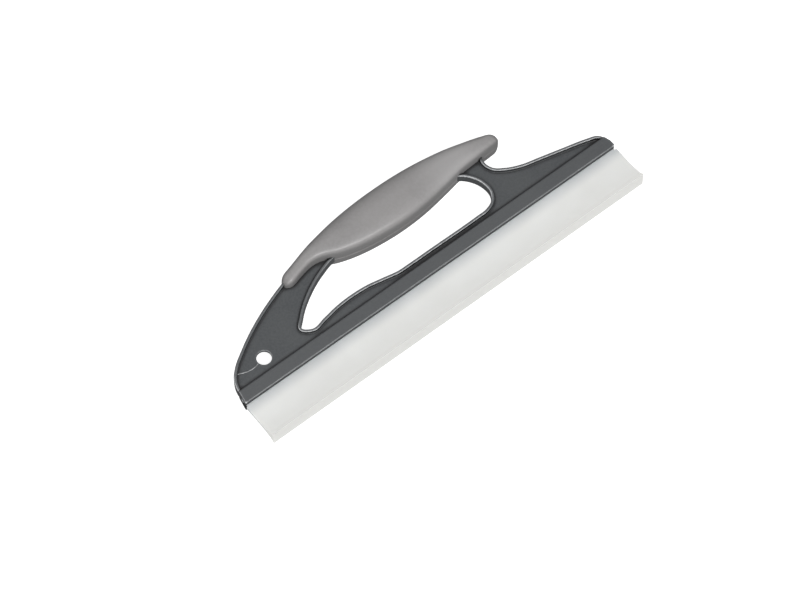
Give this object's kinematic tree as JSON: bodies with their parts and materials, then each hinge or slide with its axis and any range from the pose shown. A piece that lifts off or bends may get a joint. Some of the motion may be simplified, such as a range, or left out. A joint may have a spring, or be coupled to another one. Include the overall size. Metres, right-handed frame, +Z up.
{
  "type": "window cleaning squeegee",
  "caption": "Flat hand squeegee with an open moulded frame, a two-shell hand grip, a hanging hole and a flexible silicone wiping blade held in a rail.",
  "frame": {"origin": "centre of the bounding box in X and Y, on the lowest point of the grip's back shell, with the tool lying on its back", "axes": "+X along the silicone blade towards the closed end of the rail, +Y from the wiping edge to the grip, +Z up out of the tool's front face"},
  "size_m": [0.3048, 0.1022, 0.022],
  "materials": {
    "frame_plastic": "dark grey ABS, fine satin texture",
    "grip_plastic": "warm light grey, satin moulded shells",
    "blade_silicone": "milky translucent silicone, smooth",
    "screw_steel": "zinc plated steel"
  },
  "bodies": {
    "handle": {"frame": "frame_plastic", "grip_front_shell": "grip_plastic", "grip_rear_shell": "grip_plastic", "grip_screw_1": "screw_steel", "grip_screw_2": "screw_steel", "grip_screw_3": "screw_steel", "grip_screw_4": "screw_steel"},
    "blade_root": {"blade_root": "blade_silicone"},
    "blade_lip": {"blade_lip": "blade_silicone"}
  },
  "joints": [
    {"name": "blade_slide", "type": "slide", "parent": "handle", "child": "blade_root", "axis": [-1, 0, 0], "range_m": [0, 0.3]},
    {"name": "lip_flex", "type": "hinge", "parent": "blade_root", "child": "blade_lip", "pos_m": [0, -0.0236, 0.011], "axis": [1, 0, 0], "range_deg": [-30, 30], "stiffness_Nm_per_rad": 0.3}
  ]
}
